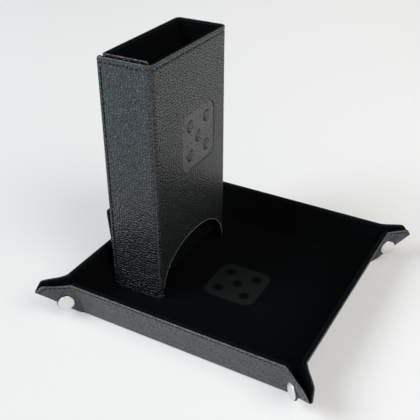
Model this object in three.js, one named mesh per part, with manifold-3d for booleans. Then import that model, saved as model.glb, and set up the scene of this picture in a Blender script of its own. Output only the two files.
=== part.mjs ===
// Folding dice tower that stands in a snap-corner tray.
//
// Everything is leather outside, velvet inside and card board between. The
// tower is one wrap of five panels that folds flat like a parallelogram. The
// tray is one sheet whose four walls are held up by a snap at each corner ear.
// Millimetres, +Z up. The origin is the centre of the tray's underside, the
// front of the tray faces -Y, and the tower's arched panel faces +X.
import * as THREE from 'three';
import { mergeVertices } from 'three/addons/utils/BufferGeometryUtils.js';
import Module from 'manifold-3d';

const wasm = await Module();
wasm.setup();

// Layers that every stiff panel is made of, from outside to inside
const leatherThick = 1.0;
const boardThick = 1.4;
const velvetThick = 0.8;
const layerGap = 0.3;
const panelThick = leatherThick + layerGap + boardThick + layerGap + velvetThick;
const jointGap = 0.3;
const overrun = 5;

// Tray
const tray = {
  side: 175,
  wallHeight: 35.7,
  leanDegrees: 18.4,
  rimLip: 6,
};
const ear = { thick: 1.8, tipRadius: 15 };

// Snap fastener in each ear: its place from the base corner, and its pieces
const snap = {
  along: 12.2,
  height: 15.6,
  padRadius: 6.9,
  capRadius: 6.25,
  capRim: 0.7,
  capDome: 1.3,
  capPostRadius: 1.5,
  socketRadius: 5,
  socketHeight: 2.4,
  socketWeb: 0.7,
  cavityRadius: 2.3,
  studFlangeRadius: 4.6,
  studFlange: 0.6,
  ballRadius: 1.8,
  ballHeight: 1.8,
  ballTop: 1.3,
  postFlangeRadius: 4.8,
  postFlange: 0.9,
  postRadius: 0.9,
  fitGap: 0.25,
};

// Tower: its outside sizes and its place in the tray
const tower = {
  depth: 44,
  width: 106,
  top: 197.6,
  backX: -83.5,
  nearY: -49.5,
  lip: 10,
  tuckRise: 1,
  tuckEndGap: 1,
};
const arch = { leg: 4.5, top: 41, power: 2.2 };
const rampThick = 1.8;
const rampEnds = { closing: 12.8, opening: 1.5, front: 1 };
const innerDepth = tower.depth - 2 * panelThick - layerGap - rampThick;
const exitSlope = 55;
const exitReach = innerDepth - rampEnds.front;
const ramps = {
  upper: { hingeZ: 158, length: 20, slopeDegrees: 42, mitre: 0 },
  middle: { hingeZ: 118, length: 20, slopeDegrees: 42, mitre: 0 },
  exit: {
    hingeZ: 65,
    length: exitReach / Math.cos(THREE.MathUtils.degToRad(exitSlope)),
    slopeDegrees: exitSlope,
    mitre: 7,
  },
};
const rearFlap = { hingeZ: 20, length: 51, thick: 2, leanDegrees: 5.5 };
const magnet = { width: 10, height: 40, middleZ: 100 };

// Facet counts
const roundSteps = 24;
const archSteps = 28;
const tipSteps = 5;

const radians = THREE.MathUtils.degToRad;
const lean = radians(tray.leanDegrees);
const rise = Math.PI / 2 - lean;
const half = tray.side / 2;

// Materials
const leather = new THREE.MeshStandardMaterial({ color: 0x24242a, roughness: 0.45 });
const velvet = new THREE.MeshStandardMaterial({ color: 0x0d0d10, roughness: 0.95 });
const card = new THREE.MeshStandardMaterial({ color: 0x7c7468, roughness: 0.9 });
const steel = new THREE.MeshStandardMaterial({ color: 0xd8d8d6, roughness: 0.2, metalness: 1 });

// Booleans: a closed three.js geometry to a solid and back
function toSolid(geometry) {
  const bare = geometry.clone();
  bare.deleteAttribute('normal');
  bare.deleteAttribute('uv');
  const welded = mergeVertices(bare);
  const triVerts = Uint32Array.from(welded.index.array);
  const vertProperties = Float32Array.from(welded.attributes.position.array);
  return new wasm.Manifold(new wasm.Mesh({ numProp: 3, vertProperties, triVerts }));
}

function toGeometry(solid) {
  const { vertProperties, triVerts } = solid.getMesh();
  const geometry = new THREE.BufferGeometry();
  geometry.setAttribute('position', new THREE.BufferAttribute(vertProperties, 3));
  geometry.setIndex(new THREE.BufferAttribute(triVerts, 1));
  geometry.computeVertexNormals();
  return geometry;
}

function node(name, shape, material, place = new THREE.Matrix4()) {
  const geometry = shape.isBufferGeometry ? shape : toGeometry(shape);
  const mesh = new THREE.Mesh(geometry, material);
  mesh.name = name;
  mesh.applyMatrix4(place);
  return mesh;
}

// An outline of [x, y] points, extruded. The first keeps the outline's own
// plane, the second takes it as (Y, Z) and runs along X, and the third takes
// it as (X, Z) and runs along Y.
function prism(points, depth) {
  const outline = new THREE.Shape(points.map(([x, y]) => new THREE.Vector2(x, y)));
  return new THREE.ExtrudeGeometry(outline, { depth, bevelEnabled: false });
}

function section(points, width) {
  const turn = new THREE.Matrix4().makeBasis(axisY, axisZ, axisX);
  return prism(points, width).applyMatrix4(turn);
}

function face(points, from, to) {
  const turn = new THREE.Matrix4().makeBasis(axisX, axisZ, axisY.clone().negate());
  return prism(points, to - from).applyMatrix4(turn).translate(0, to, 0);
}

function box(low, high) {
  const size = high.map((value, i) => value - low[i]);
  const middle = high.map((value, i) => (value + low[i]) / 2);
  return new THREE.BoxGeometry(...size).translate(...middle);
}

function mirrored(geometry) {
  const copy = mergeVertices(geometry.clone().deleteAttribute('normal').deleteAttribute('uv'));
  copy.scale(-1, 1, 1);
  const index = copy.index.array;
  for (let i = 0; i < index.length; i += 3) [index[i], index[i + 1]] = [index[i + 1], index[i]];
  return copy;
}

const axisX = new THREE.Vector3(1, 0, 0);
const axisY = new THREE.Vector3(0, 1, 0);
const axisZ = new THREE.Vector3(0, 0, 1);

// The three layers of a panel in its own frame: X across, Y from the outer
// face inwards and Z up. The leather turns over each edge that has a lip and
// runs back down the inside. An edge with no lip is a fold.
function panelLayers({ width, height, foot, topLip, footLip, inset = 0 }) {
  const boardFrom = leatherThick + layerGap;
  const boardTo = boardFrom + boardThick;
  const liningFrom = panelThick - velvetThick;
  const turned = [
    [0, foot.leather],
    [0, height],
    [panelThick, height],
    [panelThick, height - topLip],
    [liningFrom, height - topLip],
    [liningFrom, height - leatherThick],
    [leatherThick, height - leatherThick],
  ];
  const footEdge = footLip
    ? [
        [leatherThick, leatherThick],
        [liningFrom, leatherThick],
        [liningFrom, footLip],
        [panelThick, footLip],
        [panelThick, 0],
      ]
    : [[leatherThick, foot.leather]];
  const boardTop = height - leatherThick - layerGap;
  const liningTop = height - topLip - layerGap;
  return {
    cover: toSolid(section([...turned, ...footEdge], width)),
    board: toSolid(box([inset, boardFrom, foot.board], [width - inset, boardTo, boardTop])),
    lining: toSolid(box([inset, liningFrom, foot.lining], [width - inset, panelThick, liningTop])),
  };
}

function cutEach(layers, cutter, action = 'subtract') {
  const cut = {};
  for (const [name, solid] of Object.entries(layers)) cut[name] = solid[action](cutter);
  return cut;
}

function panelNodes(name, layers, place) {
  return [
    node(`${name}_cover`, layers.cover, leather, place),
    node(`${name}_board`, layers.board, card, place),
    node(`${name}_lining`, layers.lining, velvet, place),
  ];
}

// How far a layer stops short of the fold line at the foot of a tray wall, so
// that base and wall clear each other both flat and folded up
function foldBack(thickness) {
  return jointGap / 2 + thickness * Math.tan(rise / 2);
}

// Tray base: three flat plates
function trayBase() {
  const coverHalf = half - foldBack(leatherThick);
  const innerHalf = half - foldBack(panelThick);
  const boardLow = leatherThick + layerGap;
  const plate = (reach, low, high) => box([-reach, -reach, low], [reach, reach, high]);
  return [
    node('tray_base_cover', plate(coverHalf, 0, leatherThick), leather),
    node('tray_base_board', plate(innerHalf, boardLow, boardLow + boardThick), card),
    node('tray_base_lining', plate(innerHalf, panelThick - velvetThick, panelThick), velvet),
  ];
}

// The quarter of the plan that belongs to the front wall and its two ears. Its
// sides are the planes of the ears' ridges, less half the gap.
function quarterWedge() {
  const apex = -jointGap * Math.SQRT1_2;
  const reach = tray.side;
  const points = [[0, apex], [-reach, apex - reach], [reach, apex - reach]];
  return prism(points, 2 * reach).translate(0, 0, -reach);
}

function wallFrame() {
  return new THREE.Matrix4().makeRotationX(lean).setPosition(-half, -half, 0);
}

function wallLayers() {
  const layers = panelLayers({
    width: tray.side - jointGap,
    height: tray.wallHeight,
    topLip: tray.rimLip,
    foot: {
      leather: foldBack(leatherThick),
      board: foldBack(panelThick),
      lining: foldBack(panelThick),
    },
    inset: layerGap,
  });
  const toWall = wallFrame().multiply(new THREE.Matrix4().makeTranslation(jointGap / 2, 0, 0));
  const wedge = toSolid(quarterWedge().applyMatrix4(toWall.clone().invert()));
  return { layers: cutEach(layers, wedge, 'intersect'), toWall };
}

// An ear is a square of the tray's sheet folded on its diagonal. Each half, a
// flank, bends outwards from the end of its wall until the two meet at the
// ridge, and carries half of the snap on a flat pad.
const flankBend = Math.acos(
  (Math.cos(rise) + Math.SQRT2 * Math.sin(rise) ** 2) / (1 + Math.sin(rise) ** 2),
);
const padOuter = ear.thick + (snap.socketHeight + snap.studFlange + jointGap) / 2;
const padInner = padOuter - ear.thick;

function flankFrame() {
  const outward = new THREE.Vector3(0, -Math.cos(lean), -Math.sin(lean));
  const up = new THREE.Vector3(0, -Math.sin(lean), Math.cos(lean));
  const away = axisX.clone().multiplyScalar(Math.cos(flankBend));
  away.addScaledVector(outward, Math.sin(flankBend));
  const normal = new THREE.Vector3().crossVectors(away, up);
  return new THREE.Matrix4().makeBasis(away, up, normal).setPosition(half, -half, 0);
}

// The snap's frame at the right-hand ear: Z is the snap's axis, from the ridge
// plane towards the front wall's flank
function snapFrame() {
  const toFlank = new THREE.Vector3(-1, -1, 0).normalize();
  const along = new THREE.Vector3(1, -1, 0).normalize();
  const side = new THREE.Vector3().crossVectors(toFlank, along);
  const centre = new THREE.Vector3(half, -half, snap.height);
  centre.addScaledVector(along, snap.along);
  return new THREE.Matrix4().makeBasis(along, side, toFlank).setPosition(centre);
}

function disc(radius, from, to) {
  return new THREE.CylinderGeometry(radius, radius, to - from, roundSteps)
    .rotateX(Math.PI / 2)
    .translate(0, 0, (from + to) / 2);
}

function flankSolid() {
  const reach = tray.wallHeight;
  const straight = reach - ear.tipRadius;
  const tip = [];
  for (let i = 0; i <= tipSteps; i += 1) {
    const angle = Math.PI / 2 - (i / tipSteps) * (Math.PI / 4);
    tip.push([
      straight + ear.tipRadius * Math.cos(angle),
      straight + ear.tipRadius * Math.sin(angle),
    ]);
  }
  const start = jointGap / 2;
  const outline = [[start, start], [start, reach], ...tip];
  const plate = prism(outline, ear.thick).translate(0, 0, -ear.thick);
  const sheet = toSolid(plate.applyMatrix4(flankFrame()));
  const pad = toSolid(disc(snap.padRadius, padInner, padOuter).applyMatrix4(snapFrame()));
  const holeRadius = snap.capPostRadius + snap.fitGap;
  const hole = disc(holeRadius, padInner - overrun, padOuter + overrun);
  // The sheet is cleared where the snap's flat pieces lie, on both of its faces
  const seats = disc(snap.padRadius, padOuter, padOuter + overrun);
  const inside = disc(snap.padRadius, -overrun, padInner);
  let solid = sheet;
  for (const cutter of [seats, inside]) {
    solid = solid.subtract(toSolid(cutter.applyMatrix4(snapFrame())));
  }
  solid = solid.add(pad).subtract(toSolid(hole.applyMatrix4(snapFrame())));
  return solid.intersect(toSolid(quarterWedge()));
}

// Snap pieces, turned about their axis. Each outline is [radius, height], with
// the height counted from the ridge plane towards the flank that holds them.
function turned(points) {
  const outline = points.map(([r, z]) => new THREE.Vector2(r, z));
  return new THREE.LatheGeometry(outline, roundSteps).rotateX(Math.PI / 2);
}

function capPiece() {
  const top = padOuter + snap.capRim;
  const shoulder = snap.capRadius * Math.SQRT1_2;
  const postEnd = padInner - snap.socketWeb;
  return turned([
    [0, postEnd],
    [snap.capPostRadius, postEnd],
    [snap.capPostRadius, padOuter],
    [snap.capRadius, padOuter],
    [snap.capRadius, top],
    [shoulder, top + snap.capDome * Math.SQRT1_2],
    [0, top + snap.capDome],
  ]);
}

function socketPiece() {
  const foot = padInner - snap.socketHeight;
  const cavityTop = padInner - snap.socketWeb;
  const bore = snap.capPostRadius + snap.fitGap;
  const edge = snap.socketWeb / 2;
  return turned([
    [bore, padInner],
    [bore, cavityTop],
    [snap.cavityRadius, cavityTop],
    [snap.cavityRadius, foot],
    [snap.socketRadius - edge, foot],
    [snap.socketRadius, foot + edge],
    [snap.socketRadius, padInner],
    [bore, padInner],
  ]);
}

// The ball of the stud reaches past the ridge plane, into the socket
function studPiece() {
  const flangeTop = padInner - snap.studFlange;
  const ballTop = flangeTop - snap.ballHeight;
  const waist = snap.ballRadius - snap.fitGap;
  const bore = snap.postRadius + snap.fitGap;
  const boreEnd = flangeTop - snap.ballHeight / 2;
  return turned([
    [0, ballTop],
    [snap.ballTop, ballTop],
    [snap.ballRadius, ballTop + snap.ballHeight / 2],
    [waist, flangeTop],
    [snap.studFlangeRadius, flangeTop],
    [snap.studFlangeRadius, padInner],
    [bore, padInner],
    [bore, boreEnd],
    [0, boreEnd],
  ]);
}

function postPiece() {
  const postEnd = padInner - snap.studFlange - snap.fitGap;
  const edge = snap.postFlange / 2;
  return turned([
    [0, postEnd],
    [snap.postRadius, postEnd],
    [snap.postRadius, padOuter],
    [snap.postFlangeRadius, padOuter],
    [snap.postFlangeRadius - edge, padOuter + snap.postFlange],
    [0, padOuter + snap.postFlange],
  ]);
}

// Walls in turn from the front one, counter-clockwise, with the ear and snap at
// each end. Left and right are as seen from outside.
const walls = [
  { name: 'front', leftEar: 'front_left', rightEar: 'front_right', caps: [true, true] },
  { name: 'right', leftEar: 'front_right', rightEar: 'back_right', caps: [false, true] },
  { name: 'back', leftEar: 'back_right', rightEar: 'back_left', caps: [false, false] },
  { name: 'left', leftEar: 'back_left', rightEar: 'front_left', caps: [true, false] },
];

// The snap half that a flank carries: cap and socket, or stud and post
function snapHalf(corner, hasCap, shape) {
  const pieces = hasCap
    ? { cap: capPiece(), socket: socketPiece() }
    : { stud: studPiece(), post: postPiece() };
  return Object.entries(pieces).map(([name, geometry]) =>
    node(`${corner}_snap_${name}`, shape(geometry.applyMatrix4(snapFrame())), steel),
  );
}

function trayWall(wall, index) {
  const group = new THREE.Group();
  group.rotation.z = (index * Math.PI) / 2;
  const { layers, toWall } = wallLayers();
  group.add(...panelNodes(`${wall.name}_wall`, layers, toWall));
  const flank = toGeometry(flankSolid());
  const same = (geometry) => geometry;
  const ends = [
    { corner: wall.leftEar, hasCap: wall.caps[0], shape: mirrored },
    { corner: wall.rightEar, hasCap: wall.caps[1], shape: same },
  ];
  for (const { corner, hasCap, shape } of ends) {
    group.add(node(`${corner}_ear_${wall.name}_flank`, shape(flank.clone()), leather));
    group.add(...snapHalf(corner, hasCap, shape));
  }
  return group;
}

// Tower panels. Each corner is mitred in plan, less half the gap at each side.
const towerFoot = panelThick + jointGap;
const towerHeight = tower.top - towerFoot;
const tuckY = tower.nearY + panelThick + jointGap;

function mitre(width, height, leftCut, rightCut) {
  const start = leftCut ? jointGap / 2 : 0;
  const end = rightCut ? width - jointGap / 2 : width;
  return toSolid(
    prism(
      [
        [start, 0],
        [end, 0],
        [end - rightCut, panelThick],
        [start + leftCut, panelThick],
      ],
      height,
    ),
  );
}

function towerPanel({ width, height = towerHeight, leftCut, rightCut }) {
  const boardFoot = leatherThick + layerGap;
  const layers = panelLayers({
    width,
    height,
    topLip: tower.lip,
    footLip: tower.lip,
    foot: { leather: 0, board: boardFoot, lining: tower.lip + layerGap },
    inset: layerGap,
  });
  const ends = mitre(width, height, leftCut, rightCut);
  return cutEach(layers, ends, 'intersect');
}

// Arch outline, centred on its foot: a superellipse grown by an offset
function archOutline(grow) {
  const wide = tower.width / 2 - arch.leg + grow;
  const high = arch.top - towerFoot + grow;
  const points = [[-wide, -overrun]];
  for (let i = 0; i <= archSteps; i += 1) {
    const angle = Math.PI * (1 - i / archSteps);
    const c = Math.cos(angle);
    const s = Math.max(Math.sin(angle), 0);
    const x = Math.sign(c) * Math.abs(c) ** (2 / arch.power);
    points.push([wide * x, high * s ** (2 / arch.power)]);
  }
  points.push([wide, -overrun]);
  return points.map(([x, z]) => [x + tower.width / 2, z]);
}

function archPanel() {
  const plain = towerPanel({ width: tower.width, leftCut: panelThick, rightCut: panelThick });
  const ends = mitre(tower.width, towerHeight, panelThick, panelThick);
  const edge = toSolid(face(archOutline(leatherThick), 0, panelThick));
  const hole = toSolid(face(archOutline(0), -overrun, panelThick + overrun));
  const clear = toSolid(face(archOutline(leatherThick + layerGap), -overrun, panelThick + overrun));
  return {
    cover: plain.cover.add(edge.intersect(ends)).subtract(hole),
    board: plain.board.subtract(clear),
    lining: plain.lining.subtract(clear),
  };
}

// The closure's two magnets lie in slots in the boards of the near side and of
// the tuck flap behind it
function magnetBox(width, gap) {
  const boardFrom = leatherThick + layerGap;
  const across = magnet.width / 2 + gap;
  const up = magnet.height / 2 + gap;
  const depth = gap ? overrun : 0;
  return box(
    [width / 2 - across, boardFrom - depth, magnet.middleZ - towerFoot - up],
    [width / 2 + across, boardFrom + boardThick + depth, magnet.middleZ - towerFoot + up],
  );
}

function withMagnet(name, layers, width, place) {
  const slot = toSolid(magnetBox(width, layerGap));
  const slotted = { ...layers, board: layers.board.subtract(slot) };
  return [...panelNodes(name, slotted, place), node(`${name}_magnet`, magnetBox(width, 0), steel, place)];
}

// A free upright edge of a panel, closed by a turned strip of leather. The
// strip runs from edgeX towards the panel, so board and lining are cut back.
function closeEdge(layers, edgeX, towards, height) {
  const inner = edgeX + towards * leatherThick;
  const cutTo = inner + towards * layerGap;
  const span = (a, b) => [Math.min(a, b), Math.max(a, b)];
  const [stripLow, stripHigh] = span(edgeX, inner);
  const [cutLow, cutHigh] = span(edgeX - towards * overrun, cutTo);
  const strip = toSolid(box([stripLow, 0, 0], [stripHigh, panelThick, height]));
  const clear = toSolid(box([cutLow, 0, 0], [cutHigh, panelThick, height]));
  return {
    cover: layers.cover.add(strip),
    board: layers.board.subtract(clear),
    lining: layers.lining.subtract(clear),
  };
}

function upright(turnDegrees, x, y) {
  return new THREE.Matrix4().makeRotationZ(radians(turnDegrees)).setPosition(x, y, towerFoot);
}

function nearSide() {
  const width = tower.depth;
  const plain = towerPanel({ width, leftCut: 0, rightCut: panelThick });
  const layers = closeEdge(plain, 0, 1, towerHeight);
  return withMagnet('near_side', layers, width, upright(0, tower.backX, tower.nearY));
}

function tuckFlap() {
  const width = tower.depth - panelThick - tower.tuckEndGap;
  const height = towerHeight + tower.tuckRise;
  const plain = towerPanel({ width, height, leftCut: panelThick, rightCut: 0 });
  const layers = closeEdge(plain, width, -1, height);
  return withMagnet('tuck_flap', layers, width, upright(0, tower.backX, tuckY));
}

function towerPanels() {
  const frontX = tower.backX + tower.depth;
  const farY = tower.nearY + tower.width;
  const far = towerPanel({ width: tower.depth, leftCut: panelThick, rightCut: panelThick });
  const backWidth = farY - tuckY;
  const back = towerPanel({ width: backWidth, leftCut: panelThick, rightCut: panelThick });
  return [
    ...nearSide(),
    ...tuckFlap(),
    ...panelNodes('arch_panel', archPanel(), upright(90, frontX, tower.nearY)),
    ...panelNodes('far_side', far, upright(180, frontX, farY)),
    ...panelNodes('back_panel', back, upright(270, tower.backX, farY)),
  ];
}

// Ramps: sloped plates hinged on the inner faces of the back and arch panels.
// Each is short of the corner that closes up when the tower folds.
function rampPlate({ length, mitre: cut }) {
  const inner = tower.nearY + tower.width - panelThick - (tuckY + panelThick);
  const full = inner - rampEnds.closing - rampEnds.opening;
  return prism(
    [
      [0, 0],
      [full, 0],
      [full, length],
      [cut, length],
    ],
    rampThick,
  );
}

function rampNode(name, ramp, onBack) {
  const slope = radians(ramp.slopeDegrees);
  const along = onBack ? 1 : -1;
  const hingeAxis = new THREE.Vector3(0, along, 0);
  const down = new THREE.Vector3(along * Math.cos(slope), 0, -Math.sin(slope));
  const under = new THREE.Vector3().crossVectors(hingeAxis, down);
  const stand = panelThick + layerGap + rampThick;
  const x = onBack ? tower.backX + stand : tower.backX + tower.depth - stand;
  const nearInner = tuckY + panelThick;
  const farInner = tower.nearY + tower.width - panelThick;
  const y = onBack ? nearInner + rampEnds.closing : farInner - rampEnds.closing;
  const place = new THREE.Matrix4().makeBasis(hingeAxis, down, under).setPosition(x, y, ramp.hingeZ);
  return node(name, rampPlate(ramp), velvet, place);
}

// Flap behind the tower, hinged low on the back panel and leaning out
function rearFlapNode() {
  const width = tower.nearY + tower.width - tuckY;
  const flap = box([-rearFlap.thick, 0, 0], [0, width, rearFlap.length]);
  const place = new THREE.Matrix4().makeRotationY(-radians(rearFlap.leanDegrees));
  place.setPosition(tower.backX - layerGap, tuckY, rearFlap.hingeZ);
  return node('rear_flap', flap, leather, place);
}

const diceTower = new THREE.Group();
diceTower.add(...trayBase());
walls.forEach((wall, index) => diceTower.add(trayWall(wall, index)));
diceTower.add(...towerPanels());
diceTower.add(
  rampNode('upper_ramp', ramps.upper, true),
  rampNode('middle_ramp', ramps.middle, false),
  rampNode('exit_ramp', ramps.exit, true),
  rearFlapNode(),
);

export default diceTower;
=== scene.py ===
import math

import bmesh
import bpy
import numpy as np
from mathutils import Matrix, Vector


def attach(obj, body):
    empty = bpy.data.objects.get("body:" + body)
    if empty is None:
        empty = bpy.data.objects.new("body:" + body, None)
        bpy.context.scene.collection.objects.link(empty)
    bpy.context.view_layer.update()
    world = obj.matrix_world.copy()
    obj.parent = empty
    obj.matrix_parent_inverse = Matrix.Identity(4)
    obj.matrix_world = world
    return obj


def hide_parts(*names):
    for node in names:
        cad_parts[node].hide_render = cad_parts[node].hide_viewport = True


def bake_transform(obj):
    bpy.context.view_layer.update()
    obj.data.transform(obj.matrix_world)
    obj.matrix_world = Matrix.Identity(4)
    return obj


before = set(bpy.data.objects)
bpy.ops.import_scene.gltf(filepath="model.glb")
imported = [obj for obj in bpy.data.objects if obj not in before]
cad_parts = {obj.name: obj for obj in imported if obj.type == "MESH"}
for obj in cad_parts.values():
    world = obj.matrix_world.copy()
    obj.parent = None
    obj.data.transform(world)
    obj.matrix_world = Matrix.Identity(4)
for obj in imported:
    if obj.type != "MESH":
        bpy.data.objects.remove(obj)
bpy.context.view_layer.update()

# Sizes, in millimetres as in the part's source
MM = 0.001
PANEL = 3.8            # leather, board and velvet together
RECESS = 0.5           # how far the leather under a lining lies below the lip
LINING_BACK = 0.7      # back of a lining, below the lip
LINING_FACE = 0.12     # face of a lining, below the lip

HALF = 87.5            # half the side of the tray's base
WALL = 35.7            # height of a tray wall up its slope
LEAN = math.radians(18.4)
TURN = math.pi / 2 - LEAN
BEND = math.radians(33.266)
SKIN = 1.1             # leather's own thickness at an edge, where the velvet comes up beside it
SKIN_ROLL = 0.5        # radius of the leather's cut edge
SET_BACK = 0.35        # how far the velvet's edge lies below the leather's
WALL_STITCH = 2.4      # the tray's row of stitches, below the rim
BASE_STRIP = 9.0       # how far the wall's leather runs in under the base
EAR_START = 2.6        # the ear's leather begins this far before the corner
CUT = 57.5             # an ear ends where u + v comes to this
EAR_LIFT = {"front_left": 5.0, "front_right": 2.5, "back_right": 1.0, "back_left": 1.0}
FULLNESS = 1.4         # how far an ear's round bottom may stand out of its unfolded shape
CHANNEL = 3.5          # height of that round bottom
SNAP_REACH = 3.45      # from the ridge plane out to the leather beside a snap
SNAP_UP, SNAP_OUT = 15.6, 12.2    # a snap's middle, above the table and out from the corner

FOOT, TOP = 4.1, 197.6
BACK_X, FRONT_X, NEAR_Y, FAR_Y, TUCK_Y = -83.5, -39.5, -49.5, 56.5, -45.4
DEEP, WIDE = FRONT_X - BACK_X, FAR_Y - NEAR_Y
TOWER_STITCH = 4.0     # rows of stitches, from the tower's top and foot
FREE_STITCH = 2.6      # upright row, from a free edge
ARCH_STITCH = 2.1      # row round the arch, from its edge
STITCH_PITCH, TRAY_PITCH = 3.7, 3.4    # from one stitch to the next, on tower and tray
SEW_OUT, SEW_IN = 0.3, PANEL - 0.05    # depth of stitches outside and inside a panel
CORNER = 4.6           # outer radius of a tower corner
FILLET = 0.3           # radius left inside a corner
STUB = 0.3             # flat part at both ends of a corner piece
FREE_RADIUS = 1.8      # outline radius at the ends of a free edge
BLEND_REACH = 0.3      # half a slice round a fold's bisector
ARCH_HALF, ARCH_TOP, ARCH_POWER = 48.5, 41.0, 2.2


# Small helpers
def smooth(low, high, x):
    """0 below low, 1 above high, and 3t^2 - 2t^3 between."""
    t = np.clip((x - low) / (high - low), 0, 1)
    return t * t * (3 - 2 * t)


def rolled(edge, radius):
    """Depth of a rounded edge: r - sqrt(r^2 - (r - edge)^2), where r is the radius."""
    e = np.clip(edge, 0, radius)
    return radius - np.sqrt(np.maximum(radius**2 - (radius - e) ** 2, 0))


def furrow(edge, at, wide=0.95, deep=0.5):
    """Depth of the channel that a row of stitches pulls in: a cosine bell round its line."""
    t = np.clip(np.abs(edge - at) / wide, 0, 1)
    return deep * (0.5 + 0.5 * np.cos(math.pi * t))


def spaced(*parts):
    """One rising row of positions from several, with those nearer than a hundredth left out and
    both ends kept."""
    row = np.unique(np.concatenate([np.atleast_1d(np.asarray(p, float)) for p in parts]))
    kept = row[np.concatenate([[True], np.diff(row) > 0.01])]
    kept[-1] = row[-1]
    return kept


# Distances from an edge where its rounding, its stitches and the velvet beside it need points
EDGE_STEPS = np.array([0, 0.03, 0.1, 0.22, 0.36, 0.5, 0.8, 1.2, 1.7, 2.1, 2.4, 2.65, 2.9, 3.15, 3.4,
                       3.7, 4.0, 4.25, 4.5, 4.8, 5.3, 6.0, 7.0])
VELVET_STEPS = SET_BACK + np.array([0, 0.03, 0.12, 0.28, 0.5, 0.8, 1.6, 3.0, 4.0, 5.0, 6.5])


def skin_depths(edge, thick=PANEL):
    """Outer and inner depth of the leather: a thin skin at an edge, and further in as thick as the
    board that it wraps."""
    full = thick - RECESS
    inner = SKIN + (full - SKIN) * smooth(4.5, 6.5, edge) - rolled(edge, SKIN_ROLL)
    return rolled(edge, SKIN_ROLL), inner


def worn_and_glint_edge(edge):
    """1 on the leather's cut edge, 0 from most of a millimetre inside it: where the edge is painted
    paler, partly its own wear and partly a painted highlight.
    """
    return 0.5 - 0.5 * smooth(0.2, 0.8, edge)


def painted_rim_sheen(edge):
    """Strength of the painted highlight, a paler line, where the velvet rolls over at a rim."""
    return 0.75 * np.exp(-(((edge - SET_BACK - 0.5) / 0.45) ** 2))


def edge_marks(layer, edge):
    """What a layer's material reads off its mesh beside a rim."""
    return {"worn": worn_and_glint_edge(edge)} if layer == "leather" else {"printed": painted_rim_sheen(edge)}


def velvet_depths(edge, thick=PANEL):
    """Face and back of the velvet, from the same outer side: at an edge it reaches to the leather
    skin, and its own border is rolled."""
    face = thick - LINING_FACE - rolled(np.maximum(edge - SET_BACK, 0), 0.8)
    deep = thick - LINING_BACK - 0.2
    return face, SKIN + 0.02 + (deep - SKIN) * smooth(3.5, 5.0, edge)


def grid(rows, cols):
    return np.meshgrid(np.asarray(rows, float), np.asarray(cols, float), indexing="ij")


def middles(count):
    """Middles of that many equal parts of 0 to 1."""
    return (np.arange(count) + 0.5) / count


def run_along(x, y):
    """Distance from a path's start to each of its points, along it."""
    return np.concatenate([[0], np.cumsum(np.hypot(np.diff(x), np.diff(y)))])


def finish_mesh(name, points, faces, material, values=None, crease=38):
    """A mesh object at the origin from millimetre points, welded, closed and facing outwards."""
    mesh = bpy.data.meshes.new(name)
    mesh.from_pydata(np.asarray(points, float) * MM, [], faces)
    for key, value in (values or {}).items():
        mesh.attributes.new(key, "FLOAT", "POINT").data.foreach_set(
            "value", np.asarray(value, np.float32).ravel())
    bm = bmesh.new()
    bm.from_mesh(mesh)
    bmesh.ops.remove_doubles(bm, verts=bm.verts, dist=2e-6)
    bmesh.ops.dissolve_degenerate(bm, edges=bm.edges, dist=1e-6)
    bmesh.ops.recalc_face_normals(bm, faces=bm.faces)
    bm.to_mesh(mesh)
    bm.free()
    mesh.polygons.foreach_set("use_smooth", np.ones(len(mesh.polygons), bool))
    mesh.set_sharp_from_angle(angle=math.radians(crease))
    mesh.materials.append(material)
    piece = bpy.data.objects.new(name, mesh)
    bpy.context.scene.collection.objects.link(piece)
    return piece


def quads(index):
    return np.stack([index[:-1, :-1], index[:-1, 1:], index[1:, 1:], index[1:, :-1]],
                    -1).reshape(-1, 4)


def tube(rings, steps):
    """Faces of a closed tube of rings of points: its sides, and its two ends."""
    index = np.arange(rings * steps).reshape(rings, steps)
    return quads(np.concatenate([index, index[:, :1]], 1)), np.stack([index[0, ::-1], index[-1]])


def settle(piece, body, solid=None):
    """Lets a piece move with its body and, where one is named, stand for a CAD solid."""
    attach(piece, body)
    if solid:
        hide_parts(solid)


def shell(name, outer, inner, material, slot, values=None):
    """A closed skin: an outer and an inner grid of points, row by column, and a strip of faces
    that joins the two round their common border."""
    rows, cols = outer.shape[:2]
    front = np.arange(rows * cols).reshape(rows, cols)
    back = front + rows * cols
    ring = np.concatenate([front[0, :-1], front[:-1, -1], front[-1, :0:-1], front[:0:-1, 0]])
    after = np.roll(ring, -1)
    strip = np.stack([ring, ring + rows * cols, after + rows * cols, after], -1)
    faces = np.concatenate([quads(front), quads(back)[:, ::-1], strip])
    points = np.concatenate([outer.reshape(-1, 3), inner.reshape(-1, 3)])
    both = {k: np.concatenate([v.ravel(), np.zeros(v.size)]) for k, v in (values or {}).items()}
    return finish_mesh(name, points, faces.tolist(), material, both)


def place(origin, along, inward, up):
    """A panel's own frame as a function: origin + s along + d inward + h up."""
    origin, along, inward, up = (np.asarray(v, float) for v in (origin, along, inward, up))

    def put(s, d, h):
        s, d, h = np.broadcast_arrays(s, d, h)
        return (origin + s[..., None] * along + d[..., None] * inward + h[..., None] * up)

    return put


# Shader maths
def feed(tree, socket, value):
    """Links a wire to a socket, or sets the socket to a number or a colour."""
    if isinstance(value, Wire):
        tree.links.new(value.socket, socket)
    else:
        socket.default_value = value


class Wire:
    """A shader socket whose sums and products add Math nodes."""

    def __init__(self, tree, socket):
        self.tree, self.socket = tree, socket

    def _math(self, operation, first, second):
        node = self.tree.nodes.new("ShaderNodeMath")
        node.operation = operation
        feed(self.tree, node.inputs[0], first)
        feed(self.tree, node.inputs[1], second)
        return Wire(self.tree, node.outputs[0])

    def __add__(self, other): return self._math("ADD", self, other)
    def __sub__(self, other): return self._math("SUBTRACT", self, other)
    def __rsub__(self, other): return self._math("SUBTRACT", other, self)
    def __mul__(self, other): return self._math("MULTIPLY", self, other)


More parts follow.
